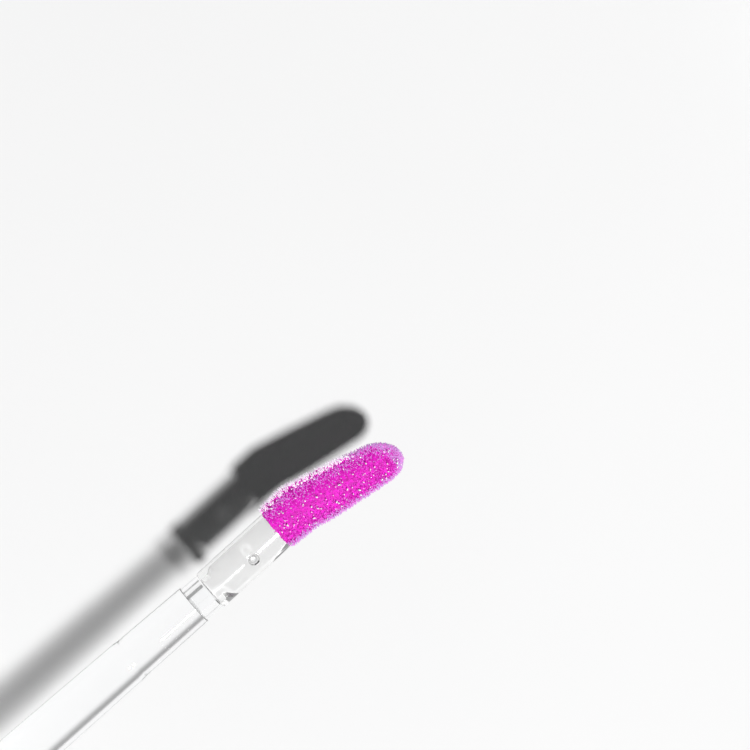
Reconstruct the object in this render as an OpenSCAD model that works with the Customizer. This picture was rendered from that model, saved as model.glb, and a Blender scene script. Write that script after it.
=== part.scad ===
// Lip gloss tube with a doe-foot applicator, drawn open and lying on its side.
// The tube runs along X: cap, wand, a clear gap, then the bottle with its mouth
// facing the wand. Z is up, z = 0 is the surface that the tube lies on, and the
// origin is below the middle of the whole length.

/* [Body] */
// Width across the flats of the bottle and of the cap
body_w = 19; // [18:0.5:22]
// Radius of the four long corners
corner_r = 3.6; // [2:0.2:5]
// Length of the cap
cap_len = 33; // [32.5:0.5:40]
// Thickness of the outer cap's side walls
cap_wall = 0.9; // [0.7:0.1:1.1]
// Distance from the tip of the wand to the open mouth
mouth_gap = 60; // [20:1:80]

/* [Bottle] */
// Inside radius of the inner vial and its neck
bore_r = 4.6; // [4.5:0.1:4.8]
// Wall thickness of the inner vial and its neck
vial_wall = 1.1; // [0.9:0.1:1.1]
// Depth of the inner vial, from the top of the collar to its floor
vial_depth = 57.5; // [57.5:0.5:70]
// Height of the neck above the collar
neck_h = 12; // [12:0.5:14]
// Thickness of the bottle's heavy clear base
base_t = 6.5; // [3:0.5:10]
// Thickness of the shoulder collar
collar_t = 1.6; // [1:0.1:2.5]
// Free space between the wiper and the gloss
head_space = 6.6; // [5:0.2:20]

/* [Wand] */
// Length of stem that shows outside the cap
stem_len = 30; // [25:1:34]
// Radius of the stem at its open end
stem_tip_r = 2.15; // [2.1:0.01:2.2]
// Growth of the stem's radius for each millimetre towards the cap
stem_draft = 0.0122; // [0:0.0001:0.0124]
// Length of the applicator's round collar
ring_len = 2.2; // [1:0.1:3]
// Radius of the applicator's round collar
core_r = 2; // [1.8:0.05:2.05]
// Half width of the applicator's bare paddle
paddle_r = 2.15; // [2.1:0.05:2.2]
// Length of bare core between the collar and the flock
bare_len = 8.8; // [6:0.1:10]
// Length of the flocked tip
flock_len = 14.6; // [12:0.1:15]
// Thickness of the pile
pile = 0.65; // [0.4:0.05:0.8]
// Turn of the applicator about the stem's axis, in degrees
tip_roll = 4; // [0:1:20]

/* [Closure] */
// Angle that one neck ridge covers, in degrees
ridge_angle = 100; // [90:2:110]
// Angle that one cap lug covers, in degrees
lug_angle = 54; // [40:2:60]

/* [Hidden] */
$fn = 96;
eps = 0.01;

// Bottle, measured along its own axis from the top of the collar.
neck_r = bore_r + vial_wall;
vial_floor_t = 1.2;
vial_corner = 1.2;
vial_floor_corner = 1;
sleeve_gap = 0.1;
flange_r = neck_r + 1.7;
flange_t = 1.2;
bottle_len = vial_depth + vial_floor_t + sleeve_gap + base_t;
label_w = 12;
label_t = 0.15;
label_r = 2;

// Neck ridges, stops and the cap's lugs.
ridge_h = 0.8;
ridge_r = neck_r + ridge_h;
ridge_low = 5;
ridge_t = 1.8;
stop_angle = 20;
lug_t = 1.7;
lug_clear = 0.2;
lug_neck_clear = 0.15;
collar_clear = 0.1;
closed_gap = 0.2;

// Wiper.
wiper_flange_r = 5.4;
wiper_flange_t = 0.8;
wiper_in_r = 4;
wiper_bevel_w = 0.3;
wiper_bevel_h = 0.6;
wiper_lip_r = 2.65;
wiper_cone_top = 2;
wiper_lip = -2;
wiper_lip_t = 0.5;
wiper_wall_drop = 0.6;
gloss_top = wiper_lip - head_space;
meniscus = 0.6;
meniscus_w = 1.4;

// Cap, measured along its own axis from the cap's open face.
socket_clear = 0.2;
socket_r = ridge_r + socket_clear;
inner_cap_wall = 1.2;
inner_cap_r = socket_r + inner_cap_wall;
shell_in_w = body_w - 2 * cap_wall;
shell_in_r = corner_r - cap_wall;
lip_recess = 0.6;
skirt_t = 1.2;
gasket_play = 0.05;
gasket_low = neck_h + wiper_flange_t - closed_gap + gasket_play;
gasket_t = 1;
gasket_in_r = 3;
gasket_r = socket_r - socket_clear;
bead_h = 0.35;
bead_r = socket_r - bead_h;
bead_t = 0.4;
bead_gap = 0.15;
head_low = gasket_low + gasket_t + gasket_play;
head_t = 1.2;
head_clear = 0.3;
head_r = socket_r - head_clear;
deck_low = head_low + head_t;
deck_t = 1.6;
boss_r = 5;
plug_r = 3.4;
plug_len = 6.5;
boss_end_t = 1.2;
rear_len = 9;
rear_in_r = 6.9;
inner_cap_end = deck_low + deck_t + rear_len;
rib_w = 2.4;
rib_root = 0.4;
plate_t = 0.8;
end_wall_t = 1.2;
end_wall_low = cap_len - plate_t - end_wall_t;
plate_w = body_w - 2 * cap_wall;
weight_clear = 0.1;

// Wand. Distances run from the stem's open end towards the tip.
stem_edge = 0.1;
stem_step_at = -8.3;
stem_step = 0.06;
stem_step_len = 0.6;
stem_root_r = stem_tip_r + stem_step + stem_draft * stem_len;
hollow_r = 1.15;
hollow_end_t = 0.25;
paddle_turn = 1.3;
flat_crown_r = 5;
flat_crown_h = 1.2;
flat_crown_off = -0.5;
neck_half_w = 1.15;
shoulder_over = 0.1;
shoulder_from = ring_len + 0.75;
shoulder_to = ring_len + 2.2;
gate_at = ring_len + 5.3;
gate_off = 0.55;
gate_r = 0.6;
gate_deep = 0.2;
flock_from = ring_len + bare_len;
flock_end = flock_from + flock_len;
flock_half_t = 2.05;
core_half_t = flock_half_t - pile;
wrap_t = 0.5;
wand_len = stem_len + flock_end;

// Outline of the flocked tip on its wide side. Its middle line starts off centre
// and bends away; its width swells, tapers and closes in a round end.
tip_off = -0.43;
bend_from = flock_from + 2;
bend_blend = 2.5;
bend_start = flock_from + 2.9;
bend_slope = 0.2;
tip_half_w = 2.5;
swell = 0.16;
swell_len = 3.4;
taper_from = flock_from + 5;
taper = 0.035;
taper_power = 1.3;
tip_end_r = 2.6;
skin_round_w = 2.1;

// Places along X.
total_len = cap_len + wand_len + mouth_gap + wiper_flange_t + neck_h + bottle_len;
cap_face_x = cap_len - total_len / 2;
shoulder_x = total_len / 2 - bottle_len;

// Stands its children on the tube's axis: their Z runs towards the cap's end.
module on_axis(x) {
    translate([x, 0, body_w / 2]) rotate([0, -90, 0]) children();
}

// Places its children in the wand's own measure: their Z runs from the stem's
// open end to the tip, their X is up and their Y is the side that the tip bends to.
module on_wand() {
    on_axis(cap_face_x) translate([0, 0, -stem_len]) rotate([180, 0, 0]) children();
}

module tip_turned() {
    rotate([0, 0, tip_roll]) children();
}

module round_square(w, r) {
    square([w - 2 * r, w], center = true);
    square([w, w - 2 * r], center = true);
    for (x = [-1, 1], y = [-1, 1])
        translate([x * (w / 2 - r), y * (w / 2 - r)]) circle(r);
}

module bar(from, to, r) {
    translate([0, 0, from]) cylinder(h = to - from, r = r);
}

module square_bar(from, to, w, r) {
    translate([0, 0, from]) linear_extrude(to - from) round_square(w, r);
}

// A part of a ring that covers `angle` degrees, centred on `middle`.
module ring_part(from, to, r_in, r_out, middle, angle) {
    translate([0, 0, from]) rotate([0, 0, middle - angle / 2])
        rotate_extrude(angle = angle) translate([r_in, 0]) square([r_out - r_in, to - from]);
}

// ---- Bottle ----

module outer_bottle() {
    color([0.9, 0.94, 0.96, 0.4]) on_axis(shoulder_x) difference() {
        square_bar(-bottle_len, -collar_t, body_w, corner_r);
        bar(-vial_depth - vial_floor_t - sleeve_gap, 0, neck_r + sleeve_gap);
        bar(-collar_t - flange_t, 0, flange_r + sleeve_gap / 2);
        square_bar(-bottle_len - 1, -bottle_len + label_t, label_w, label_r);
    }
}

module neck_closure() {
    for (side = [0, 180]) {
        ring_part(ridge_low, ridge_low + ridge_t, neck_r - eps, ridge_r, side, ridge_angle);
        ring_part(0, ridge_low, neck_r - eps, ridge_r,
            side - ridge_angle / 2 + stop_angle / 2, stop_angle);
    }
}

module inner_vial() {
    floor_at = -vial_depth - vial_floor_t;
    color([0.85, 0.92, 0.96, 0.5]) on_axis(shoulder_x) {
        rotate_extrude() polygon([
            [0, floor_at], [neck_r - vial_corner, floor_at], [neck_r, floor_at + vial_corner],
            [neck_r, -collar_t - flange_t], [flange_r, -collar_t - flange_t],
            [flange_r, -collar_t], [neck_r, -collar_t], [neck_r, neck_h],
            [bore_r, neck_h], [bore_r, -vial_depth + vial_floor_corner],
            [bore_r - vial_floor_corner, -vial_depth],
            [0, -vial_depth]
        ]);
        neck_closure();
    }
}

module shoulder_collar() {
    color([0.78, 0.78, 0.8]) on_axis(shoulder_x) difference() {
        square_bar(-collar_t, 0, body_w, corner_r);
        bar(-collar_t - 1, 1, ridge_r + collar_clear);
    }
}

module wiper() {
    top = neck_h + wiper_flange_t;
    color([0.93, 0.94, 0.93]) on_axis(shoulder_x) rotate_extrude() polygon([
        [wiper_flange_r, neck_h], [wiper_flange_r, top], [wiper_in_r + wiper_bevel_w, top],
        [wiper_in_r, top - wiper_bevel_h], [wiper_in_r, wiper_cone_top],
        [wiper_lip_r, wiper_lip + wiper_lip_t], [wiper_lip_r, wiper_lip],
        [wiper_lip_r + wiper_lip_t, wiper_lip], [bore_r, wiper_cone_top - wiper_wall_drop],
        [bore_r, neck_h]
    ]);
}

module gloss_fill() {
    color([0.85, 0.93, 0.97, 0.6]) on_axis(shoulder_x) rotate_extrude() polygon([
        [0, -vial_depth], [bore_r - vial_floor_corner, -vial_depth],
        [bore_r, -vial_depth + vial_floor_corner], [bore_r, gloss_top],
        [bore_r - meniscus_w, gloss_top - 0.8 * meniscus], [0, gloss_top - meniscus]
    ]);
}

module base_label() {
    color([0.95, 0.95, 0.94]) on_axis(shoulder_x)
        square_bar(-bottle_len, -bottle_len + label_t, label_w, label_r);
}

// ---- Cap ----

module liner_gasket() {
    color([0.97, 0.97, 0.96]) on_axis(cap_face_x) difference() {
        bar(gasket_low, gasket_low + gasket_t, gasket_r);
        bar(gasket_low - 1, gasket_low + gasket_t + 1, gasket_in_r);
    }
}

module outer_cap() {
    color([0.8, 0.8, 0.82]) on_axis(cap_face_x) difference() {
        square_bar(0, cap_len, body_w, corner_r);
        square_bar(-1, end_wall_low, shell_in_w, shell_in_r);
        square_bar(end_wall_low + end_wall_t, cap_len + 1, plate_w, shell_in_r);
    }
}

module cap_lugs() {
    lug_low = ridge_low - lug_clear - lug_t - closed_gap;
    for (side = [90, 270])
        ring_part(lug_low, lug_low + lug_t, neck_r + lug_neck_clear, socket_r + eps, side, lug_angle);
}

module inner_cap() {
    color([0.96, 0.96, 0.95]) on_axis(cap_face_x) {
        difference() {
            union() {
                bar(lip_recess, inner_cap_end, inner_cap_r);
                square_bar(lip_recess, lip_recess + skirt_t, shell_in_w, shell_in_r);
                for (turn = [0:90:270]) rotate([0, 0, turn])
                    translate([inner_cap_r - rib_root, -rib_w / 2, lip_recess])
                        cube([shell_in_w / 2 - inner_cap_r + rib_root, rib_w, inner_cap_end - lip_recess]);
            }
            bar(lip_recess - 1, deck_low, socket_r);
            difference() {
                bar(deck_low + deck_t, inner_cap_end + 1, rear_in_r);
                bar(deck_low, deck_low + plug_len + boss_end_t, boss_r);
            }
            bar(deck_low - 1, deck_low + plug_len, plug_r);
        }
        cap_lugs();
        translate([0, 0, gasket_low - bead_gap - bead_t]) difference() {
            cylinder(h = bead_t, r = socket_r + eps);
            translate([0, 0, -1]) cylinder(h = bead_t + 2, r = bead_r);
        }
    }
}

module cap_weight() {
    color([0.55, 0.56, 0.58]) on_axis(cap_face_x)
        square_bar(inner_cap_end, end_wall_low, shell_in_w - 2 * weight_clear, shell_in_r);
}

module cap_end_plate() {
    color([0.86, 0.86, 0.88]) on_axis(cap_face_x)
        square_bar(end_wall_low + end_wall_t, cap_len, plate_w - 2 * weight_clear, shell_in_r);
}

// ---- Wand ----

module stem() {
    root = -stem_len;
    head = root - head_low;
    color([0.93, 0.96, 0.97, 0.35]) on_wand() rotate_extrude() polygon([
        [0, 0], [stem_tip_r - stem_edge, 0], [stem_tip_r, -stem_edge],
        [stem_tip_r - stem_draft * stem_step_at, stem_step_at],
        [stem_tip_r - stem_draft * stem_step_at + stem_step, stem_step_at - stem_step_len],
        [stem_root_r, root], [stem_root_r, head], [head_r, head],
        [head_r, head - head_t], [plug_r, head - head_t],
        [plug_r, head - head_t - plug_len], [0, head - head_t - plug_len]
    ]);
}

// Half width of the flat's narrow neck beside the collar, blending out to the
// full width of the core.
function ease(x) = x * x * (3 - 2 * x);
function clamp(x) = max(0, min(1, x));
function neck_edge(z) = neck_half_w + (paddle_r + shoulder_over - neck_half_w)
    * ease(clamp((z - shoulder_from) / (shoulder_to - shoulder_from)));

module core_section() {
    intersection() {
        circle(paddle_r);
        at_crown(-1) circle(flat_crown_r);
        at_crown(1) circle(flat_crown_r);
    }
}

module at_crown(side) {
    translate([side * (flat_crown_r - flat_crown_h), flat_crown_off]) children();
}

// The paddle leans slightly to one side from the end of the collar.
module on_paddle() {
    translate([0, 0, ring_len]) rotate([paddle_turn, 0, 0]) translate([0, 0, -ring_len]) children();
}

// The full-round shoulders between the collar and the flats.
module core_shoulders() {
    steps = 14;
    top = [for (i = [0:steps]) ring_len + i * (shoulder_to - ring_len) / steps];
    intersection() {
        bar(ring_len, shoulder_to, paddle_r);
        for (side = [0, 180]) rotate([0, 0, side]) translate([-paddle_r - 1, 0, 0])
            rotate([0, 90, 0]) linear_extrude(2 * paddle_r + 2)
                polygon(concat([[-ring_len, paddle_r + 1]], [for (z = top) [-z, neck_edge(z)]],
                    [[-shoulder_to, paddle_r + 1]]));
    }
}

// Side-to-side place of the flocked tip's middle line, and its half width.
function mid_line(z) = tip_off
    + bend_slope * max(0, z - bend_start) * ease(clamp((z - bend_from) / bend_blend));
function half_width(z) =
    let (body = tip_half_w + swell * sin(90 * min(1, (z - flock_from) / swell_len))
            - taper * pow(max(0, z - taper_from), taper_power),
        left = max(0, flock_end - z))
    left < tip_end_r ? body * sqrt(max(0, 1 - pow(1 - left / tip_end_r, 2))) : body;

// Outline of the core inside the pile, as seen on the flat side.
module flocked_core() {
    core_end = flock_end - pile;
    steps = 22;
    low = flock_from + wrap_t;
    zs = [for (i = [0:steps]) low + (core_end - low) * sin(90 * i / steps)];
    function w(z) = max(0.02, (half_width(min(flock_end, z + pile * (z - low) / (core_end - low))) - pile));
    rotate([0, -90, 0]) translate([0, 0, -core_half_t]) linear_extrude(2 * core_half_t)
        polygon(concat([for (z = zs) [z, mid_line(z) + w(z)]],
            [for (i = [steps:-1:0]) [zs[i], mid_line(zs[i]) - w(zs[i])]]));
}

module tip_core() {
    color([0.9, 0.91, 0.91, 0.8]) on_wand() tip_turned() {
        difference() {
            bar(0, ring_len + wrap_t, core_r);
            bar(-1, ring_len - hollow_end_t, hollow_r);
        }
        on_paddle() {
            core_shoulders();
            difference() {
                translate([0, 0, ring_len - eps]) linear_extrude(flock_from + wrap_t + 2 * eps - ring_len)
                    core_section();
                translate([flat_crown_h - gate_deep, gate_off, gate_at]) rotate([0, 90, 0])
                    cylinder(h = 1, r = gate_r, $fn = 48);
            }
        }
        flocked_core();
    }
}

// One ring of the pile's outer skin: an oval, a little flatter than it is wide.
function skin_ring(z, n) =
    let (w = half_width(z), t = flock_half_t * min(1, w / skin_round_w))
    [for (i = [0:n - 1]) [t * cos(360 * i / n), mid_line(z) + w * sin(360 * i / n), z]];

module pile_skin() {
    n = 32;
    rings = 22;
    last = flock_end - 0.02;
    zs = [for (i = [0:rings]) flock_from + (last - flock_from) * sin(90 * i / rings)];
    points = [for (z = zs) each skin_ring(z, n)];
    faces = concat(
        [[for (i = [n - 1:-1:0]) i]],
        [for (k = [0:rings - 1], i = [0:n - 1])
            [k * n + i, k * n + (i + 1) % n, (k + 1) * n + (i + 1) % n, (k + 1) * n + i]],
        [[for (i = [0:n - 1]) rings * n + i]]);
    polyhedron(points, faces);
}

module flocking() {
    color([0.9, 0.08, 0.78]) on_wand() tip_turned() difference() {
        pile_skin();
        flocked_core();
        on_paddle() translate([0, 0, flock_from - 1]) linear_extrude(wrap_t + 1 + eps) core_section();
    }
}

outer_bottle();
inner_vial();
shoulder_collar();
wiper();
gloss_fill();
base_label();
liner_gasket();
outer_cap();
inner_cap();
cap_weight();
cap_end_plate();
stem();
tip_core();
flocking();
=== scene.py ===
"""Lip gloss tube, open and lying on its side: the looks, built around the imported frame."""

import math
import random

import bmesh
import bpy
from mathutils import Matrix, Vector


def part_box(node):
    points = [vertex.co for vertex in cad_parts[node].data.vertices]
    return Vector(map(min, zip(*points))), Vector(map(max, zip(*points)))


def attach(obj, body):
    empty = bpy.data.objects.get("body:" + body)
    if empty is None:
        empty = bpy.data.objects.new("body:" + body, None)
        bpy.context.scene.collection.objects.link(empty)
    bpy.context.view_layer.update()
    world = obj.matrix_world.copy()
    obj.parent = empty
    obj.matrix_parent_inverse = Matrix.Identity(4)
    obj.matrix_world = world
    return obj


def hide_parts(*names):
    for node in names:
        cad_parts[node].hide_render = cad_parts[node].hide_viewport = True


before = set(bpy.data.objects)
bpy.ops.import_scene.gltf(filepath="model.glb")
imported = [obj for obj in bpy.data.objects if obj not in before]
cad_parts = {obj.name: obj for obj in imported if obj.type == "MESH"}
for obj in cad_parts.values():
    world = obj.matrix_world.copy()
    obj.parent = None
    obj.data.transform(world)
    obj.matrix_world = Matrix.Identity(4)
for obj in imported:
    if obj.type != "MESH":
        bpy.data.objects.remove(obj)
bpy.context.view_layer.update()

MM = 0.001
rng = random.Random(41)

# ---- Places, all from the frame ----

stem_low, stem_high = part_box("stem")
axis_z = (stem_low.z + stem_high.z) / 2
stem_end_x = stem_high.x
cap_face_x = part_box("outer_cap")[1].x
shoulder_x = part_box("shoulder_collar")[0].x
cap_len = (cap_face_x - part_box("outer_cap")[0].x) / MM
body_w = (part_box("outer_cap")[1].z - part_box("outer_cap")[0].z) / MM
bottle_len = (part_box("outer_bottle")[1].x - shoulder_x) / MM
collar_t = (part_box("shoulder_collar")[1].x - shoulder_x) / MM
gloss_low, gloss_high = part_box("gloss_fill")
bore_r = (gloss_high.z - gloss_low.z) / 2 / MM
vial_floor = (shoulder_x - gloss_high.x) / MM
gloss_top = (shoulder_x - gloss_low.x) / MM
mouth = (shoulder_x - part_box("inner_vial")[0].x) / MM
flock_from = (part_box("flocking")[0].x - stem_end_x) / MM
flock_end = (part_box("flocking")[1].x - stem_end_x) / MM
stem_len = (stem_end_x - cap_face_x) / MM

# ---- Sizes in millimetres that the box of a node doesn't give ----

# The square body, the cap and the vial.
corner_r = 3.6
cap_wall = 0.9
plate_t, end_wall_t = 0.8, 1.2
vial_wall, vial_floor_t = 1.1, 1.2
neck_r = bore_r + vial_wall
ridge_h = 0.8
sleeve_gap = 0.1
skin_gap = 0.01
flange_r, flange_t = neck_r + 1.7, 1.2

# The gloss: its bubbles, and how far from the axis the wand's way is clear of them.
bubble_count, clear_of_wand = 130, 3.85

# The stem: its end, its draft, the small step in it, and the head that the cap holds.
stem_tip_r, stem_draft = 2.15, 0.0122
stem_step_at, stem_step, stem_step_len = 8.3, 0.07, 0.45
stem_in_cap, head_r, head_t = 13.7, 6.4, 1.2
plug_r, plug_len = 3.39, 6.4

# The applicator: round collar, hollow, paddle with crowned flats, and gate mark.
ring_len, core_r = 2.2, 2.0
hollow_r, hollow_end_t = 1.15, 0.25
paddle_r, paddle_lean = 2.15, 0.0227
crown_r, crown_h, crown_off = 5.0, 1.2, -0.5
neck_half_w, neck_len, shoulder_len = 1.28, 0.75, 1.45
wall_w = 0.55
gate_at, gate_off, gate_r = 7.5, 0.55, 0.6
tip_roll = math.radians(4)

# The pile: half the tip's thickness, how deep the fibres' roots are, and how many there are.
flock_half_t, pile_deep = 2.05, 0.3
fibre_count, bead_count = 10000, 120


# ---- From each piece's own measure, in millimetres, to the shared frame ----


def from_wand(u, w, s):
    """u is up, w is the side the tip bends to, s runs from the stem's end to the tip."""
    return (stem_end_x + s * MM, -w * MM, axis_z + u * MM)


def from_tip(u, w, s):
    """from_wand, turned with the applicator about the stem's axis."""
    c, d = math.cos(tip_roll), math.sin(tip_roll)
    return from_wand(u * c - w * d, u * d + w * c, s)


def from_bottle(u, v, t):
    """t runs from the collar's face towards the mouth."""
    return (shoulder_x - t * MM, v * MM, axis_z + u * MM)


def from_cap(u, v, t):
    """t runs from the cap's open face towards its closed end."""
    return (cap_face_x - t * MM, v * MM, axis_z + u * MM)


# ---- Numbers and meshes ----


def ease(x):
    """0 to 1 with a soft start and end."""
    x = min(1.0, max(0.0, x))
    return x * x * (3 - 2 * x)


def within(away, half, edge):
    """1 up to half away from a place, falling to 0 over the edge beyond it."""
    return min(1.0, max(0.0, (half - abs(away)) / edge + 1))


def whole_turn(steps):
    return [2 * math.pi * i / steps for i in range(steps)]


def add_mesh(name, verts, faces, mats, face_mats=None, sharp=35):
    """A smooth mesh piece with creases where faces meet at more than sharp degrees.
    face_mats gives each face's material index."""
    mesh = bpy.data.meshes.new(name)
    mesh.from_pydata(verts, [], faces)
    for m in mats:
        mesh.materials.append(m)
    if face_mats is not None:
        mesh.polygons.foreach_set("material_index", face_mats)
    mesh.polygons.foreach_set("use_smooth", [True] * len(mesh.polygons))
    mesh.update()
    mesh.set_sharp_from_angle(angle=math.radians(sharp))
    ob = bpy.data.objects.new(name, mesh)
    bpy.context.scene.collection.objects.link(ob)
    return ob


def point_outwards(ob):
    """Turns a closed mesh's faces outwards if they point inwards."""
    bm = bmesh.new()
    bm.from_mesh(ob.data)
    if bm.calc_volume(signed=True) < 0:
        bmesh.ops.reverse_faces(bm, faces=bm.faces)
    bm.to_mesh(ob.data)
    bm.free()
    return ob


def loft(name, place, rings, mats, slots=None, sharp=35):
    """A closed skin through rings of (a, b, along) points; both ends are closed flat.
    slots gives a material index for each band between two rings."""
    n = len(rings[0])
    verts = [place(*p) for ring in rings for p in ring]
    faces, which = [], []
    for k in range(len(rings) - 1):
        for i in range(n):
            j = (i + 1) % n
            faces.append((k * n + i, k * n + j, (k + 1) * n + j, (k + 1) * n + i))
            which.append(slots[k] if slots else 0)
    faces.append(tuple(reversed(range(n))))
    last = (len(rings) - 1) * n
    faces.append(tuple(range(last, last + n)))
    which += [slots[0] if slots else 0, slots[-1] if slots else 0]
    return point_outwards(add_mesh(name, verts, faces, mats, which, sharp))


def circle(r, along, angles):
    return [(r * math.cos(a), r * math.sin(a), along) for a in angles]


def round_square(w, r, along):
    """A square ring with round corners, as points in order round it."""
    corner_steps, side_steps = 10, 6
    ring = []
    h = w / 2 - r
    centres = ((h, h), (-h, h), (-h, -h), (h, -h))
    for q in range(4):
        for i in range(corner_steps + 1):
            a = math.radians(q * 90 + 90 * i / corner_steps)
            ring.append((centres[q][0] + r * math.cos(a), centres[q][1] + r * math.sin(a), along))
        start, corner, a = ring[-1], centres[(q + 1) % 4], math.radians((q + 1) * 90)
        end = (corner[0] + r * math.cos(a), corner[1] + r * math.sin(a))
        for i in range(1, side_steps):
            f = i / side_steps
            ring.append((start[0] + (end[0] - start[0]) * f, start[1] + (end[1] - start[1]) * f, along))
    return ring


# Angles for a round ring that joins on to a square one without a twist.
RING_ANGLES = [math.atan2(b, a) for a, b, _ in round_square(10, 3, 0)]


def edge_steps(radius, steps=6):
    """(inset, distance from the end face) down a rounded edge, from the face to the side."""
    for i in range(steps + 1):
        a = math.pi / 2 * i / steps
        yield radius * (1 - math.sin(a)), radius * (1 - math.cos(a))


def square_end(w, r, end, edge, inward):
    """Rings of a rounded edge at the end face, from the face to the side."""
    return [round_square(w - 2 * i, r - i, end + inward * d) for i, d in edge_steps(edge)]


def spin(name, place, profile, mats, steps=128):
    """A solid of revolution through (radius, along) points.
    A profile that starts at radius 0 ends there too; any other closes on its own start."""
    rings = [circle(r, t, whole_turn(steps)) for r, t in profile]
    verts, index, faces = [], [], []
    for ring, (r, t) in zip(rings, profile):
        if r <= 0:
            index.append([len(verts)] * steps)
            verts.append(place(0, 0, t))
        else:
            index.append(list(range(len(verts), len(verts) + steps)))
            verts += [place(*p) for p in ring]
    pairs = [(k, k + 1) for k in range(len(rings) - 1)]
    if profile[0][0] > 0:
        pairs.append((len(rings) - 1, 0))
    for k, m in pairs:
        for i in range(steps):
            j = (i + 1) % steps
            face = [index[k][i], index[k][j], index[m][j], index[m][i]]
            face = [v for n, v in enumerate(face) if v not in face[:n]]
            if len(face) > 2:
                faces.append(face)
    return point_outwards(add_mesh(name, verts, faces, mats))


def rounded(profile, radius, steps=4):
    """Rounds a (radius, along) profile's corners, apart from its ends and those on the axis."""
    out = [profile[0]]
    for before, here, after in zip(profile, profile[1:], profile[2:]):
        a = Vector(before) - Vector(here)
        b = Vector(after) - Vector(here)
        cut = min(radius, a.length * 0.45, b.length * 0.45)
        if here[0] <= 0 or cut < 1e-4 or a.angle(b) > math.radians(172):
            out.append(here)
            continue
        p, q = Vector(here) + a.normalized() * cut, Vector(here) + b.normalized() * cut
        for i in range(steps + 1):
            f = i / steps
            r = p * (1 - f) ** 2 + Vector(here) * 2 * f * (1 - f) + q * f**2
            out.append((r.x, r.y))
    out.append(profile[-1])
    return out


# ---- Materials ----


class Look:
    """A node material: one Principled shader and the textures that vary it."""

    def __init__(self, name, **values):
        self.mat = bpy.data.materials.new(name)
        self.mat.use_nodes = True
        self.nt = self.mat.node_tree
        self.shader = self.nt.nodes["Principled BSDF"]
        self.out = self.nt.nodes["Material Output"]
        for key, value in values.items():
            socket = key.replace("_", " ")
            self.shader.inputs[socket].default_value = (*value, 1) if "Color" in socket else value

    def node(self, kind, **values):
        """A new node; each value goes to the input socket of that name, or else to the setting."""
        n = self.nt.nodes.new(kind)
        for key, value in values.items():
            if key in n.inputs:
                n.inputs[key].default_value = value
            else:
                setattr(n, key, value)
        return n

    def join(self, a, b):
        self.nt.links.new(a, b)

    def noise(self, scale, detail, stretch=(1, 1, 1), rough=0.55):
        """Noise over object coordinates in millimetres; a stretch below 1 draws it out that way."""
        where = self.node("ShaderNodeTexCoord")
        mapping = self.node("ShaderNodeMapping", Scale=[s / MM for s in stretch])
        self.join(where.outputs["Object"], mapping.inputs["Vector"])
        n = self.node("ShaderNodeTexNoise", Scale=scale, Detail=detail, Roughness=rough)
        self.join(mapping.outputs["Vector"], n.inputs["Vector"])
        return n.outputs["Fac"]

    def spread(self, fac, low, high, from_low=0.3, from_high=0.7):
        """Maps the range from_low to from_high onto low to high, and stops there."""
        n = self.node("ShaderNodeMapRange")
        ends = {"From Min": from_low, "From Max": from_high, "To Min": low, "To Max": high}
        for key, value in ends.items():
            n.inputs[key].default_value = value
        self.join(fac, n.inputs["Value"])
        return n.outputs["Result"]

    def rough(self, fac, low, high):
        self.join(self.spread(fac, low, high), self.shader.inputs["Roughness"])
        return self

    def bump(self, fac, height):
        """height is the bump's depth in millimetres."""
        n = self.node("ShaderNodeBump", Strength=1.0, Distance=height * MM)
        self.join(fac, n.inputs["Height"])
        if self.shader.inputs["Normal"].is_linked:
            self.join(self.shader.inputs["Normal"].links[0].from_socket, n.inputs["Normal"])
        self.join(n.outputs["Normal"], self.shader.inputs["Normal"])
        return self

    def colour(self, fac, low, high):
        n = self.node("ShaderNodeMix", data_type="RGBA")
        self.join(self.spread(fac, 0, 1, 0.35, 0.65), n.inputs["Factor"])
        n.inputs["A"].default_value = (*low, 1)
        n.inputs["B"].default_value = (*high, 1)
        self.join(n.outputs["Result"], self.shader.inputs["Base Color"])
        return self

    def let_light_through(self, share, grazing, reach=(0.0, 1.0)):
        """Rays from lamps and soft bounced light pass each skin with this share of their light.
        If grazing isn't None, the share grows to that where they only graze the skin; reach is
        how square-on they are, to the third power, where it starts and stops to change."""
        clear = self.node("ShaderNodeBsdfTransparent", Color=(share, share, share, 1))
        if grazing is not None:
            weight = self.node("ShaderNodeLayerWeight", Blend=0.5)
            square_on = self.node("ShaderNodeMath", operation="SUBTRACT")
            square_on.inputs[0].default_value = 1.0
            self.join(weight.outputs["Facing"], square_on.inputs[1])
            cubed = self.node("ShaderNodeMath", operation="POWER")
            self.join(square_on.outputs[0], cubed.inputs[0])
            cubed.inputs[1].default_value = 3.0
            self.join(self.spread(cubed.outputs[0], grazing, share, *reach), clear.inputs["Color"])
        path = self.node("ShaderNodeLightPath")
        front = self.shader.outputs[0]
        for ray in ("Is Diffuse Ray", "Is Shadow Ray"):
            mix = self.node("ShaderNodeMixShader")
            self.join(path.outputs[ray], mix.inputs[0])
            self.join(front, mix.inputs[1])
            self.join(clear.outputs[0], mix.inputs[2])
            front = mix.outputs[0]
        self.join(front, self.out.inputs["Surface"])
        return self


def clear_plastic(name, tint, ior, through, scuff=0.02, wave=0.004, grazing=None):
    """Clear moulded plastic: a faint flow wave, fine scuffs and a share of light let through."""
    look = Look(name, Base_Color=tint, Transmission_Weight=1.0, IOR=ior, Roughness=0.0)
    look.rough(look.noise(0.6, detail=4.0), 0.0, scuff)
    look.bump(look.noise(0.35, detail=2.0, stretch=(0.25, 1, 1)), wave)
    return look.let_light_through(through, grazing).mat


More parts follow.
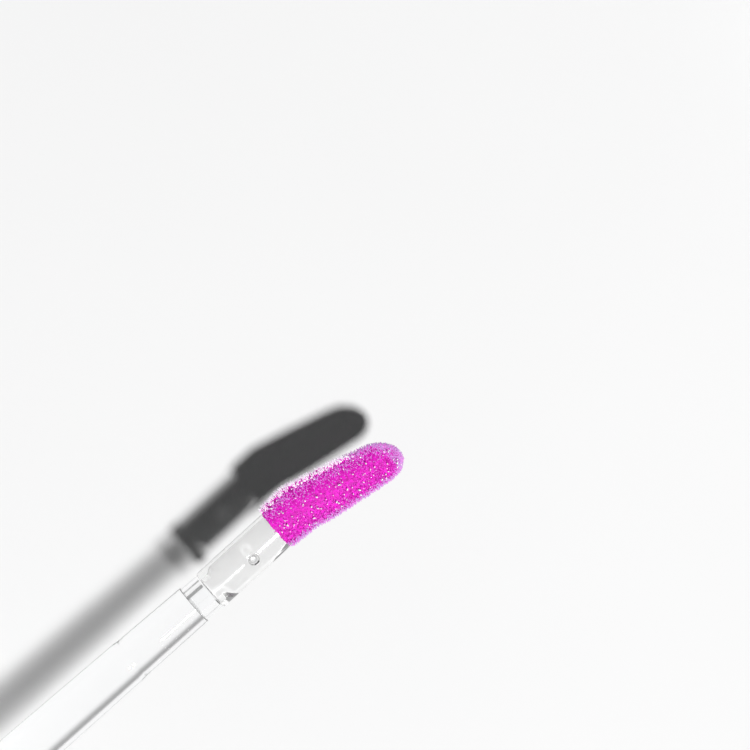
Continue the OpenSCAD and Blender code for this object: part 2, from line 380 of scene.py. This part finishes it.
def brushed_metal(name, tint, stretch, rough=(0.2, 0.34), depth=0.0015):
    """Fine drawn lines along one direction, with soft unevenness."""
    look = Look(name, Base_Color=tint, Metallic=1.0, Anisotropic=0.5)
    lines = look.noise(9.0, detail=5.0, stretch=stretch, rough=0.7)
    look.colour(lines, tuple(c * 0.8 for c in tint), tint)
    look.rough(lines, *rough)
    look.bump(lines, depth)
    look.bump(look.noise(0.15, detail=2.0), 0.006)
    return look.mat


def milky_plastic(name, tint, rough, soft, bump=0.002):
    """Moulded plastic that light soaks into by the share soft."""
    look = Look(name, Subsurface_Weight=soft, Subsurface_Radius=(1.0, 0.95, 0.9), IOR=1.51)
    look.shader.inputs["Subsurface Scale"].default_value = 0.9 * MM
    look.colour(look.noise(0.8, detail=3.0), tuple(c * 0.97 for c in tint), tint)
    look.rough(look.noise(1.5, detail=3.0), rough * 0.8, rough * 1.2)
    look.bump(look.noise(6.0, detail=2.0), bump)
    return look.mat


def hazy_plastic(name, rough, grazing=1.0):
    """Faintly milky plastic: half the light goes through, half is scattered back, little gets past it."""
    look = Look(name, Transmission_Weight=0.45, IOR=1.45)
    look.colour(look.noise(0.8, detail=3.0), (0.965, 0.965, 0.965), (0.985, 0.985, 0.98))
    look.rough(look.noise(1.5, detail=3.0), rough * 0.8, rough * 1.2)
    look.bump(look.noise(4.0, detail=2.0), 0.001)
    return look.let_light_through(0.04, grazing, (0.2, 0.75)).mat


def painted_light_wall(name, tint, glow):
    """The milky plastic on walls so steep that they only mirror what is beside them, as painted light: a
    mostly metallic finish in a light or dark tint and a faint glow stand in for their reflections,
    refractions and shade.
    """
    look = Look(name, Metallic=0.8, Emission_Color=(1.0, 1.0, 1.0), Emission_Strength=glow)
    look.colour(look.noise(2.0, detail=2.0), tuple(0.97 * v for v in tint), tint)
    look.rough(look.noise(1.5, detail=3.0), 0.26, 0.34)
    return look.let_light_through(0.04, 1.0, (0.2, 0.75)).mat


mat_bottle = clear_plastic("bottle_clear", (0.985, 0.995, 0.998), 1.49, 0.9)
mat_vial = clear_plastic("vial_clear", (0.97, 0.985, 0.995), 1.5, 0.92, wave=0.006)
mat_wet_wall = clear_plastic("vial_wet_wall", (0.985, 0.993, 1.0), 1.035, 0.95, wave=0.0)
mat_stem = clear_plastic("stem_clear", (0.995, 0.998, 1.0), 1.57, 0.52, scuff=0.01, wave=0.003, grazing=1.0)
mat_ring = clear_plastic("ring_clear", (0.995, 0.998, 1.0), 1.5, 0.58, scuff=0.01, wave=0.002, grazing=0.8)
mat_gloss = clear_plastic("gloss_wet", (0.93, 0.975, 1.0), 1.47, 0.92, scuff=0.0, wave=0.01)
mat_gloss_side = clear_plastic("gloss_side", (0.985, 0.995, 1.0), 1.002, 0.97, scuff=0.0, wave=0.0)
mat_cap = brushed_metal("cap_metal", (0.7, 0.7, 0.72), (0.02, 1, 1))
mat_collar = brushed_metal("collar_metal", (0.66, 0.66, 0.68), (1, 0.05, 1), rough=(0.16, 0.26))
mat_plate = brushed_metal("end_plate_metal", (0.74, 0.74, 0.76), (1, 0.03, 1), rough=(0.14, 0.24))
mat_wiper = milky_plastic("wiper_plastic", (0.9, 0.92, 0.92), 0.35, soft=0.7)
mat_core = hazy_plastic("core_milky", 0.06)
mat_core_under = hazy_plastic("core_milky_under", 0.6)
mat_core_neck = hazy_plastic("core_milky_neck", 0.06, 0.2)
# Painted light: near-white, mostly metallic and glowing faintly, for the steep walls that face away from
# the lamp.
mat_core_side_painted_light = painted_light_wall("core_side_painted_light", (0.96, 0.96, 0.955), 0.1)
# Painted shade: near-black, for the gate mark's wall that faces away from the lamp.
mat_gate_painted_shade = painted_light_wall("core_gate_painted_shade", (0.12, 0.12, 0.12), 0.03)
# Painted shade: grey, for a band of the hollow's wall, standing in for the shadow seen through the collar.
mat_ring_shade = painted_light_wall("ring_shade", (0.42, 0.42, 0.42), 0.05)
# Painted shade: dark grey, for the walls beside the flats on the bent side, which face away from the lamp.
mat_core_wall_painted_shade = painted_light_wall("core_wall_painted_shade", (0.27, 0.27, 0.27), 0.05)
mat_inner_cap = milky_plastic("inner_cap_plastic", (0.9, 0.9, 0.895), 0.38, soft=0.2, bump=0.003)
mat_gasket = milky_plastic("gasket_foam", (0.88, 0.88, 0.87), 0.7, soft=0.3, bump=0.03)
mat_label = milky_plastic("label_film", (0.91, 0.91, 0.9), 0.55, soft=0.0, bump=0.0004)
mat_weight = brushed_metal("weight_steel", (0.5, 0.51, 0.53), (1, 1, 0.1), rough=(0.3, 0.45), depth=0.003)


# ---- The bottle ----


def make_bottle():
    """Square body with the label's recess in its base and the vial's bore from the other end."""
    top, low = -collar_t, -bottle_len
    label_w, label_r, label_t = 12.1, 2.05, 0.15
    bore = neck_r + sleeve_gap
    bore_floor = vial_floor - vial_floor_t - sleeve_gap
    counter_r, counter = flange_r + sleeve_gap / 2, top - flange_t
    rings = [round_square(label_w, label_r, low + label_t), round_square(label_w, label_r, low)]
    rings += square_end(body_w, corner_r, low, 0.7, 1)
    rings += [round_square(body_w, corner_r, low + (top - low) * f) for f in (0.25, 0.5, 0.75)]
    rings += reversed(square_end(body_w, corner_r, top, 0.2, -1))
    rings += [circle(counter_r, t, RING_ANGLES) for t in (top, counter)]
    rings += [circle(bore, t, RING_ANGLES) for t in (counter, bore_floor + 1)]
    for inset, up in reversed(list(edge_steps(1.0))):
        rings.append(circle(bore - inset, bore_floor + up, RING_ANGLES))
    return loft("bottle_shell", from_bottle, rings, [mat_bottle])


def ridge_height(angle, t):
    """How far the neck stands out there: two lock ridges, each with a stop at one end."""
    edge_a, edge_t = 2.0, 0.12
    ridge_half_a, ridge_at, ridge_half_t = 50, 5.9, 0.9
    stop_a, stop_half_a, stop_half_t = -40, 10, 2.5
    best = 0.0
    for side in (0, 180):
        a = (math.degrees(angle) - side + 180) % 360 - 180
        ridge = min(within(a, ridge_half_a, edge_a), within(t - ridge_at, ridge_half_t, edge_t))
        stop = min(within(a - stop_a, stop_half_a, edge_a), within(t - stop_half_t, stop_half_t, edge_t))
        best = max(best, ridge, stop)
    return ridge_h * ease(best)


def make_vial():
    """Vial with its flange, its neck and the neck's ridges; the wetted bore has a skin of its own."""
    steps = 240
    angles = whole_turn(steps)
    bore = bore_r + 2 * skin_gap
    floor_out = vial_floor - vial_floor_t
    outer = rounded(
        [
            (0, floor_out), (neck_r, floor_out), (neck_r, -collar_t - flange_t),
            (flange_r, -collar_t - flange_t), (flange_r, -collar_t), (neck_r, -collar_t),
        ],
        0.5,
    )
    outer = [p for p in outer if p[0] > 0]
    rows = [[(r, t)] * steps for r, t in outer]
    neck_ts = [-0.05 + 0.1 * i for i in range(int((mouth - 0.3) / 0.1) + 1)]
    rows += [[(neck_r + ridge_height(a, t), t) for a in angles] for t in neck_ts]
    lip = [(neck_r, mouth - 0.2), (neck_r, mouth), (bore, mouth), (bore, mouth - 0.3)]
    rows += [[p] * steps for p in rounded(lip, 0.12)]
    rows += [[(bore, t)] * steps for t in (0.0, gloss_top + skin_gap)]
    wet_from = len(rows) - 1
    for inset, up in reversed(list(edge_steps(1.0))):
        rows.append([(bore - inset, vial_floor - 2 * skin_gap + up)] * steps)
    rings = [[(r * math.cos(a), r * math.sin(a), t) for (r, t), a in zip(row, angles)] for row in rows]
    slots = [int(k >= wet_from) for k in range(len(rings))]
    return loft("inner_vial_body", from_bottle, rings, [mat_vial, mat_wet_wall], slots, sharp=50)


def make_collar():
    """Square plate with a round hole that passes over the neck's ridges."""
    hole = neck_r + ridge_h + 0.1
    rings = square_end(body_w, corner_r, -collar_t, 0.15, 1)
    rings += reversed(square_end(body_w, corner_r, 0, 0.25, -1))
    rings += [circle(hole + i, -d, RING_ANGLES) for i, d in edge_steps(0.2, 4)]
    rings.append(circle(hole, -collar_t, RING_ANGLES))
    n = len(rings[0])
    verts = [from_bottle(*p) for ring in rings for p in ring]
    faces = []
    for k in range(len(rings)):
        m = (k + 1) % len(rings)
        for i in range(n):
            j = (i + 1) % n
            faces.append((k * n + i, k * n + j, m * n + j, m * n + i))
    return point_outwards(add_mesh("collar_plate", verts, faces, [mat_collar]))


def make_wiper():
    """Soft insert: a flange on the mouth, a sleeve, and a cone down to the wiping lip."""
    flange_base, lip_end, lip_t = mouth - 0.8, -2.0, 0.5
    sleeve_r = bore_r - skin_gap
    profile = [
        (5.4, flange_base), (5.4, mouth), (4.3, mouth), (4.0, mouth - 0.6), (4.0, 2.0),
        (2.65, lip_end + lip_t), (2.65, lip_end), (2.65 + lip_t, lip_end),
        (sleeve_r, 1.4), (sleeve_r, flange_base),
    ]
    profile = rounded(profile + profile[:2], 0.12)[1:-1]
    return spin("wiper_insert", from_bottle, profile, [mat_wiper])


def gloss_surface(side_r, share, angles):
    """One ring of the gloss's top, at that share of its radius: it climbs the wall and tilts."""
    r = side_r * share
    middle, climb, tilt = gloss_top - 0.91, 0.81, 0.35
    return [
        (
            r * math.cos(a), r * math.sin(a),
            min(gloss_top - 2 * skin_gap, middle + climb * share**6 - tilt * share * math.cos(a)),
        )
        for a in angles
    ]


def make_gloss():
    """The gloss column with a tilted, curved top and small round bubbles of air."""
    angles = whole_turn(96)
    side_r = bore_r - skin_gap
    rings = [circle(side_r - inset, vial_floor + skin_gap + up, angles) for inset, up in edge_steps(1.0)]
    rings += [circle(side_r, vial_floor + (gloss_top - vial_floor) * f, angles) for f in (0.3, 0.6, 0.9)]
    slots = [1] * len(rings)
    for f in (1.0, 0.97, 0.92, 0.84, 0.72, 0.56, 0.38, 0.2, 0.05):
        rings.append(gloss_surface(side_r, f, angles))
        slots.append(0)
    body = loft("gloss_column", from_bottle, rings, [mat_gloss, mat_gloss_side], slots, sharp=60)
    draw = random.Random(7)
    verts, faces = [], []
    for _ in range(bubble_count):
        size = draw.choice((0.05, 0.07, 0.09, 0.12, 0.17, 0.26)) * draw.uniform(0.8, 1.2)
        r = draw.uniform(clear_of_wand, bore_r - size - 0.08)
        a = draw.uniform(0, 2 * math.pi)
        t = draw.uniform(vial_floor + 2, gloss_top - 2.5)
        centre = from_bottle(r * math.cos(a), r * math.sin(a), t)
        ball(verts, faces, centre, (size * MM,) * 3, 10, 16, inside_out=True)
    bubbles = add_mesh("gloss_bubbles", verts, faces, [mat_gloss])
    return body, bubbles


def ball(verts, faces, centre, radii, rows, cols, inside_out=False, turn=None):
    """Adds one closed ball to verts and faces; inside_out makes it a bubble."""
    base = len(verts)
    rx, ry, rz = radii
    points = [Vector((0, 0, rz))]
    for k in range(1, rows):
        p = math.pi * k / rows
        for a in whole_turn(cols):
            x, y = rx * math.sin(p) * math.cos(a), ry * math.sin(p) * math.sin(a)
            points.append(Vector((x, y, rz * math.cos(p))))
    points.append(Vector((0, 0, -rz)))
    for p in points:
        p = turn @ p if turn is not None else p
        verts.append(tuple(Vector(centre) + p))
    new = []
    for i in range(cols):
        j = (i + 1) % cols
        new.append((base, base + 1 + i, base + 1 + j))
        last = base + 1 + (rows - 2) * cols
        new.append((base + len(points) - 1, last + j, last + i))
        for k in range(rows - 2):
            a, b = base + 1 + k * cols, base + 1 + (k + 1) * cols
            new.append((a + i, b + i, b + j, a + j))
    faces.extend(tuple(reversed(f)) if inside_out else f for f in new)


# ---- The cap ----


def make_cap():
    """Square shell, open at the mouth, with a recess for the end plate at the other end."""
    in_w, in_r = body_w - 2 * cap_wall, corner_r - cap_wall
    chamfer, chamfer_t = 0.12, 0.15
    end_low = cap_len - plate_t - end_wall_t
    rings = [round_square(in_w, in_r, end_low), round_square(in_w, in_r, chamfer_t)]
    rings.append(round_square(in_w + 2 * chamfer, in_r + chamfer, 0))
    rings += square_end(body_w, corner_r, 0, 0.2, 1)
    rings += [round_square(body_w, corner_r, cap_len * f) for f in (0.3, 0.6)]
    rings += reversed(square_end(body_w, corner_r, cap_len, 0.35, -1))
    rings += [round_square(in_w, in_r, cap_len), round_square(in_w, in_r, cap_len - plate_t)]
    return loft("cap_shell", from_cap, rings, [mat_cap])


def make_end_plate():
    w, r = body_w - 2 * (cap_wall + sleeve_gap), corner_r - cap_wall
    low, high = cap_len - plate_t, cap_len - 2 * skin_gap
    rings = [round_square(w, r, low)]
    rings += reversed(square_end(w, r, high, 0.18, -1))
    return loft("cap_plate", from_cap, rings, [mat_plate])


# ---- The wand ----


def make_stem():
    """Tapered rod with a small step, and the head and plug that are pressed into the cap."""
    step_r = stem_tip_r + stem_draft * stem_step_at
    root_r = stem_tip_r + stem_draft * stem_len + 0.06
    end, chamfer = -2 * skin_gap, 0.03
    head = -(stem_len + stem_in_cap)
    plug = head - head_t
    profile = [
        (0, end), (stem_tip_r - chamfer, end), (stem_tip_r, end - chamfer),
        (step_r, -stem_step_at), (step_r + stem_step, -stem_step_at - stem_step_len), (root_r, -stem_len),
        (root_r, head), (head_r, head), (head_r, plug),
        (plug_r, plug), (plug_r, plug - plug_len), (0, plug - plug_len),
    ]
    return spin("stem_rod", from_wand, rounded(profile, 0.14, 6), [mat_stem], steps=160)


# ---- The applicator's core ----


def flat_edge(side, s):
    """Half width of the flats: a neck at the collar, shoulders, and less again at the flock."""
    full, beyond = paddle_r + 0.3, s - ring_len
    near = neck_half_w + (full - neck_half_w) * ease((beyond - neck_len) / shoulder_len)
    if side > 0:
        far = full - 0.08 - 0.15 * max(0.0, beyond - 4.8)
    else:
        far = full - 0.43 * ease((beyond - 7.4) / 0.5)
    return min(near, far)


def core_radius(angle, s):
    """Radius of the applicator: round at the collar, with crowned flats above and below beyond it.
    The wall beside a flat rises with the sideways distance, so its radius is found by halving."""
    if s < ring_len:
        return core_r - 0.04 * ease(1 - (ring_len - s) / 0.06)
    c, d = abs(math.cos(angle)), math.sin(angle)
    shift = crown_r - crown_h
    along = crown_off * d - shift * c
    flat = min(paddle_r, along + math.sqrt(along**2 - shift**2 - crown_off**2 + crown_r**2))
    edge = flat_edge(d, s)
    low, high = flat, paddle_r
    for _ in range(12):
        r = (low + high) / 2
        if r < flat + (paddle_r - flat) * ease((r * abs(d) - edge) / wall_w + 0.5):
            low = r
        else:
            high = r
    return low


def gate_mark(u, w, s):
    """Height of the surface at the gate mark: a low rim, a dish, and a dome a little off its middle."""
    if u < 0:
        return 0.0
    rim_h, dish_deep, dome_h = 0.025, 0.26, 0.29
    from_dish = math.hypot(w - gate_off, s - gate_at) / gate_r
    from_dome = math.hypot(w - gate_off + 0.09, s - gate_at + 0.03) / gate_r
    rim = rim_h * math.exp(-(((from_dish - 1.1) / 0.16) ** 2))
    dish = dish_deep * ease((1.0 - from_dish) / 0.22)
    dome = dome_h * ease((0.86 - from_dome) / 0.5)
    return rim - dish + dome


def in_gate_wall(point):
    """True on the side of the gate mark's steep wall that gets painted shade, as it faces away from the
    lamp.
    """
    u, w, s = point
    across, ahead = w + paddle_lean * (s - ring_len) - gate_off, s - gate_at
    in_wall = 0.74 < math.hypot(across, ahead) / gate_r < 1.04
    return u > 0 and in_wall and abs(math.atan2(ahead, across)) < 0.6


def in_shoulder_wall(point):
    """True on the walls beside the flats on the bent side, which get painted shade as they face away from
    the lamp.
    """
    u, w, s = point
    beyond = s - ring_len
    past_edge = w + paddle_lean * beyond - flat_edge(1, s)
    near = 0.62 < beyond < 1.9 and past_edge > -0.27
    far = abs(past_edge) < 0.24 * ease((beyond - 5.8) / 2.6)
    return u > 0.25 and w > 0 and (near or far)


def make_core():
    """Collar and bare core, one moulding, with the moulded hollow inside the collar."""
    mats = [
        mat_ring, mat_core, mat_core_under, mat_core_side_painted_light,
        mat_core_neck, mat_gate_painted_shade, mat_core_wall_painted_shade, mat_ring_shade,
    ]
    collar, bare, under, side, neck, gate, wall, shade = range(len(mats))

    # Points are closest together on the shoulders' walls and on the gate mark.
    angles, a = [], 0.0
    while a < 360 - 0.1:
        angles.append(math.radians(a))
        a += 0.5 if 8 <= abs(a % 180 - 90) < 42 else 1.25
    ss = [0.0]
    s = ring_len - 0.08
    while s < flock_from + 0.5:
        ss.append(s)
        if s < ring_len + 0.1:
            s += 0.02
        else:
            fine = s < ring_len + 2.6 or abs(s - gate_at) < gate_r * 1.35 or s > flock_from - 2.4
            s += 0.04 if fine else 0.2
    rings, slots = [], []
    for s in ss:
        ring = []
        for a in angles:
            r = core_radius(a, s)
            u, w = r * math.cos(a), r * math.sin(a)
            ring.append((u + gate_mark(u, w, s), w - paddle_lean * max(0.0, s - ring_len), s))
        rings.append(ring)
        slots.append(collar if s < ring_len else neck if s < ring_len + 1.2 else bare)
    solid = loft("tip_paddle", from_tip, rings, mats, slots, sharp=70)

    for index, face in enumerate(solid.data.polygons):
        k, i = divmod(index, len(angles))
        if face.material_index == bare and face.center.z < axis_z - 0.8 * MM:
            face.material_index = under
        # Steep faces turned away from the lamp get this painted light.
        elif face.material_index in (bare, neck) and face.normal.y > 0.6:
            face.material_index = side
        if k == len(rings) - 1:
            continue
        # The gate mark's wall gets a painted dark crescent.
        if in_gate_wall(rings[k][i]):
            face.material_index = gate
        # The shoulder walls on the bent side get painted shade.
        elif in_shoulder_wall(rings[k][i]):
            face.material_index = wall

    low, high = skin_gap, ring_len - hollow_end_t
    profile = [(0, low), (hollow_r, low), (hollow_r, high), (0, high)]
    hollow = spin("tip_hollow", from_tip, profile, mats)
    # A band of the hollow's wall, up on the side away from the lamp, gets this painted shade.
    for face in hollow.data.polygons:
        if -50 < math.degrees(math.atan2(-face.normal.y, face.normal.z)) < -32:
            face.material_index = shade
    add_hollow(solid, hollow)
    return solid


def add_hollow(solid, hollow):
    """Moves a closed mesh into a bigger one, turned inside out, as the skin of a hollow."""
    bm = bmesh.new()
    bm.from_mesh(hollow.data)
    bmesh.ops.reverse_faces(bm, faces=bm.faces)
    bm.from_mesh(solid.data)
    bm.to_mesh(solid.data)
    bm.free()
    bpy.data.objects.remove(hollow)


# ---- The flocked tip ----


def mid_line(s):
    """How far the middle of the flocked tip is from the stem's axis, towards the bent side."""
    return -0.43 + 0.2 * max(0.0, s - 13.9) * ease((s - 13) / 2.5)


def half_width(s):
    """Half width of the tip: a swell behind its base, a slight taper and a round end."""
    swell = 0.16 * math.sin(math.pi / 2 * min(1.0, (s - flock_from) / 3.4))
    body = 2.5 + swell - 0.035 * max(0.0, s - 16) ** 1.3
    left, end_r = max(0.0, flock_end - s), 2.6
    return body * math.sqrt(max(0.0, 1 - (1 - left / end_r) ** 2)) if left < end_r else body


def skin_point(s, angle):
    """A point on the outline of the pile, as (u, w, s); angle 0 is up."""
    w = half_width(s)
    t = flock_half_t * min(1.0, w / 2.1)
    return Vector((t * math.cos(angle), mid_line(s) + w * math.sin(angle), s))


def skin_normal(s, angle):
    e = 1e-3
    ds = skin_point(min(flock_end - 1e-4, s + e), angle) - skin_point(s - e, angle)
    da = skin_point(s, angle + e) - skin_point(s, angle - e)
    n = da.cross(ds).normalized()
    outwards = Vector((math.cos(angle), math.sin(angle), 0))
    return -n if n.dot(outwards) < 0 else n


def make_skin():
    """The dyed ground under the pile; its base ring is a little uneven, as glue leaves it."""
    # The skin's faint, even glow is painted light that brightens the pile.
    look = Look("flock_skin", Roughness=0.7, Emission_Color=(1.0, 0.0, 0.66), Emission_Strength=0.1)
    look.colour(look.noise(2.6, detail=3.0), (0.52, 0.0, 0.34), (0.92, 0.002, 0.68))
    look.bump(look.noise(7.0, detail=2.0), 0.04)
    ring_count, cols = 60, 72
    first, last = flock_from + 0.06, flock_end - 0.05
    rings = []
    for k in range(ring_count + 1):
        s = first + (last - first) * math.sin(math.pi / 2 * k / ring_count)
        ring = []
        for a in whole_turn(cols):
            p = skin_point(s, a) - skin_normal(s, a) * pile_deep
            uneven = 0.05 * math.sin(9 * a) + 0.04 * math.sin(23 * a + 1)
            p.z = max(first, p.z) + (uneven if k == 0 else 0.0)
            ring.append(p)
        rings.append(ring)
    return loft("flock_skin", from_tip, rings, [look.mat], sharp=80)


# Tint and glow of the fibres: dyed roots, dyed tips, paler tips at the sides, and near-white tips that
# gloss has wetted on the side away from the lamp, which are painted light. Every tint has a faint, even
# glow: painted light that brightens the pile, standing in for light and for its fluorescent dye.
FIBRE_TINTS = {
    "root": (((0.88, 0.0, 0.62), 0.12), ((0.68, 0.0, 0.46), 0.1), ((0.92, 0.02, 0.72), 0.14)),
    "tip": (((0.9, 0.02, 0.68), 0.12), ((0.92, 0.12, 0.8), 0.14), ((0.7, 0.0, 0.48), 0.1)),
    "side": (((0.56, 0.28, 0.68), 0.3), ((0.74, 0.22, 0.72), 0.28)),
    "wet_and_lit": (((0.85, 0.83, 0.88), 0.5), ((0.85, 0.66, 0.86), 0.4)),
}


def make_fibres():
    """Short fibres all over the skin, as one mesh with a material for each tint."""
    mats, slots = [], {}
    for kind, tints in FIBRE_TINTS.items():
        slots[kind] = range(len(mats), len(mats) + len(tints))
        for k, (tint, glow) in enumerate(tints):
            look = Look(f"flock_{kind}_{k}", Base_Color=tint, Roughness=0.3, Emission_Color=tint)
            look.shader.inputs["Emission Strength"].default_value = glow
            mats.append(look.mat)
    verts, faces, which = [], [], []
    placed = 0
    while placed < fibre_count:
        s = rng.uniform(flock_from + 0.05, flock_end - 0.01)
        a = rng.uniform(0, 2 * math.pi)
        stretch = math.hypot(half_width(s) * math.cos(a), flock_half_t * math.sin(a)) / 2.6
        slope = 1.0 + 2.5 * max(0.0, 1 - (flock_end - s) / 2.0)
        if rng.random() > min(1.0, stretch * slope / 1.6):
            continue
        placed += 1
        add_fibre(verts, faces, which, s, a, slots)
    return add_mesh("flock_fibres", verts, faces, mats, which, 180)


def add_fibre(verts, faces, which, s, a, slots):
    """One short fibre: a three-sided spike with a dyed root and a paler tip."""
    n = skin_normal(s, a)
    way = n + Vector([rng.gauss(0, 0.3) for _ in range(3)])
    near_base = ease(1 - (s - flock_from) / 0.35)
    way.z = way.z if way.z > 0 else way.z * (1 - 0.8 * near_base)
    way.normalize()
    root = skin_point(s, a) - n * (pile_deep + 0.05)
    round_at = math.degrees(a - 2 * math.pi * (a > math.pi))
    # Near-white, glowing tips on the side away from the lamp: painted light.
    wet_and_lit = -115 < round_at < -55 and s < flock_end - 4.5 + rng.uniform(-1, 1)
    at_side = 50 < abs(round_at) < 130 or s > flock_end - 1.2
    pale = not wet_and_lit and (at_side or -50 < round_at < rng.uniform(-50, -5))
    length = (pile_deep + rng.uniform(-0.1, 0.2) + 0.12 * wet_and_lit) * (1 - 0.3 * near_base)
    thick = rng.uniform(0.035, 0.06)
    side = way.orthogonal().normalized()
    other = way.cross(side)
    spin_by = rng.uniform(0, 2 * math.pi)
    base = len(verts)
    bend = side * rng.gauss(0, 0.05) + other * rng.gauss(0, 0.05)
    for share, r in ((0.0, 1.0), (rng.uniform(0.45, 0.65), 0.95), (1.0, 0.6)):
        centre = root + way * (length * share) + bend * share * share
        centre.z = max(flock_from - 0.2, centre.z)
        for k in range(3):
            q = spin_by + 2 * math.pi * k / 3
            p = centre + (side * math.cos(q) + other * math.sin(q)) * (thick * r)
            verts.append(from_tip(*p))
    root_slot = rng.choice(slots["root"])
    tip_slot = rng.choice(slots["wet_and_lit" if wet_and_lit else "side" if pale else "tip"])
    for level, slot in ((0, root_slot), (1, tip_slot)):
        b = base + 3 * level
        for k in range(3):
            m = (k + 1) % 3
            faces.append((b + k, b + m, b + 3 + m, b + 3 + k))
            which.append(slot)
    faces.append((base + 6, base + 7, base + 8))
    which.append(tip_slot)
    faces.append((base + 2, base + 1, base))
    which.append(root_slot)


def make_beads():
    """Small beads of gloss on the pile, most of them where it faces up and to the bent side, towards the
    lamp; white, not clear, so that they show as glints: partly painted highlight.
    """
    look = Look("gloss_bead_painted_glint", Base_Color=(1.0, 0.97, 1.0), IOR=1.47)
    look.rough(look.noise(3.0, detail=2.0), 0.08, 0.16)
    verts, faces = [], []
    draw = random.Random(17)
    for _ in range(bead_count):
        s = draw.uniform(flock_from + 0.4, flock_end - 0.7)
        a = draw.gauss(0.25, 0.42)
        if draw.random() < 0.15:
            a = draw.uniform(0, 2 * math.pi)
        n = skin_normal(s, a)
        p = skin_point(s, a) + n * draw.uniform(0.0, 0.08)
        size = draw.choice((0.035, 0.05, 0.05, 0.075))
        radii = (size * MM * draw.uniform(1, 2.2), size * MM, size * MM * draw.uniform(0.6, 1.0))
        turn = Matrix.Rotation(draw.uniform(0, math.pi), 3, "Z")
        ball(verts, faces, from_tip(*p), radii, 8, 12, turn=turn)
    return add_mesh("gloss_beads", verts, faces, [look.mat])


# ---- Putting it together ----


def keep_node(name, mat):
    """Shows a node as the frame has it, in this material."""
    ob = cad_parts[name]
    for slot in ob.material_slots:
        slot.material = mat
    if not ob.material_slots:
        ob.data.materials.append(mat)


def add_piece(piece, body, slot, *nodes):
    """Lets a piece ride on a body, in place of the nodes that it shows."""
    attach(piece, body)
    if nodes:
        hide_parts(*nodes)


def make_object():
    add_piece(make_bottle(), "bottle", "bottle_clear", "outer_bottle")
    add_piece(make_vial(), "bottle", "vial_clear", "inner_vial")
    add_piece(make_collar(), "bottle", "collar_metal", "shoulder_collar")
    add_piece(make_wiper(), "bottle", "wiper_plastic", "wiper")
    gloss, bubbles = make_gloss()
    add_piece(gloss, "bottle", "gloss", "gloss_fill")
    add_piece(bubbles, "bottle", "gloss")
    keep_node("base_label", mat_label)
    keep_node("liner_gasket", mat_gasket)
    add_piece(make_cap(), "cap", "cap_metal", "outer_cap")
    add_piece(make_end_plate(), "cap", "end_plate_metal", "cap_end_plate")
    keep_node("inner_cap", mat_inner_cap)
    keep_node("cap_weight", mat_weight)
    add_piece(make_stem(), "cap", "stem_clear", "stem")
    add_piece(make_core(), "cap", "core_milky", "tip_core")
    skin, fibres, beads = make_skin(), make_fibres(), make_beads()
    add_piece(skin, "cap", "flock_pile", "flocking")
    add_piece(fibres, "cap", "flock_pile")
    add_piece(beads, "cap", "gloss")
    for piece in (skin, fibres, beads):
        piece.visible_diffuse = False
    fibres.visible_shadow = False


# ---- Floor, light and camera ----


def make_floor():
    """A pale disc: a small one under the object and a wide ring round it."""
    look = Look("floor_pale", Base_Color=(0.9, 0.9, 0.9), Roughness=0.6, IOR=1.3)
    look.colour(look.noise(0.02, detail=2.0), (0.895, 0.895, 0.895), (0.905, 0.905, 0.905))
    n = 96
    verts = [(0, 0, 0)]
    for r in (0.6, 6.0):
        verts += circle(r, 0, whole_turn(n))
    faces = []
    for i in range(n):
        j = (i + 1) % n
        faces.append((0, 1 + i, 1 + j))
        faces.append((1 + i, 1 + n + i, 1 + n + j, 1 + j))
    floor = add_mesh("floor", verts, faces, [look.mat])


def make_world():
    """A studio that is seen and mirrored bright, but gives only a little fill light itself."""
    world = bpy.data.worlds.new("studio")
    bpy.context.scene.world = world
    world.use_nodes = True
    nt = world.node_tree
    nt.nodes.clear()
    path = nt.nodes.new("ShaderNodeLightPath")
    seen = path.outputs["Is Camera Ray"]
    for ray in ("Is Glossy Ray", "Is Transmission Ray"):
        either = nt.nodes.new("ShaderNodeMath")
        either.operation = "MAXIMUM"
        nt.links.new(seen, either.inputs[0])
        nt.links.new(path.outputs[ray], either.inputs[1])
        seen = either.outputs[0]
    mix = nt.nodes.new("ShaderNodeMixShader")
    nt.links.new(seen, mix.inputs[0])
    fill, shown = ((0.98, 0.99, 1, 1), 0.055), ((0.95, 0.955, 0.96, 1), 0.95)
    for place_in_mix, (colour, strength) in ((1, fill), (2, shown)):
        back = nt.nodes.new("ShaderNodeBackground")
        back.inputs["Color"].default_value = colour
        back.inputs["Strength"].default_value = strength
        nt.links.new(back.outputs[0], mix.inputs[place_in_mix])
    out = nt.nodes.new("ShaderNodeOutputWorld")
    nt.links.new(mix.outputs[0], out.inputs["Surface"])


def make_key_light():
    """One round lamp, high on the side that the tip bends to.
    Azimuth 0 is along +X and grows towards +Y."""
    azimuth, elevation, distance, size, watts = -90, 61.8, 3.0, 0.35, 99.0
    data = bpy.data.lights.new("key", "AREA")
    data.shape = "DISK"
    data.size = size
    data.energy = watts
    ob = bpy.data.objects.new("key", data)
    bpy.context.scene.collection.objects.link(ob)
    a, e = math.radians(azimuth), math.radians(elevation)
    away = Vector((math.cos(e) * math.cos(a), math.cos(e) * math.sin(a), math.sin(e)))
    ob.location = Vector((stem_end_x + 8 * MM, 0, axis_z)) + away * distance
    ob.rotation_euler = away.to_track_quat("Z", "Y").to_euler()


def make_camera():
    """Looks straight down on the end of the wand, turned so that the wand rises to the right."""
    seen_w, turned = 75 * MM, math.radians(-41.1)
    ahead, aside = 28.7, -5.4
    data = bpy.data.cameras.new("camera")
    data.lens = 150
    data.sensor_width = 36
    data.clip_start = 0.01
    data.clip_end = 50
    ob = bpy.data.objects.new("camera", data)
    bpy.context.scene.collection.objects.link(ob)
    x, y, z = from_wand(0, aside, ahead)
    ob.location = (x, y, z + seen_w * data.lens / data.sensor_width)
    ob.rotation_euler = (0, 0, turned)
    bpy.context.scene.camera = ob


make_object()
make_floor()
make_world()
make_key_light()
make_camera()
bpy.context.scene.view_settings.view_transform = "Standard"
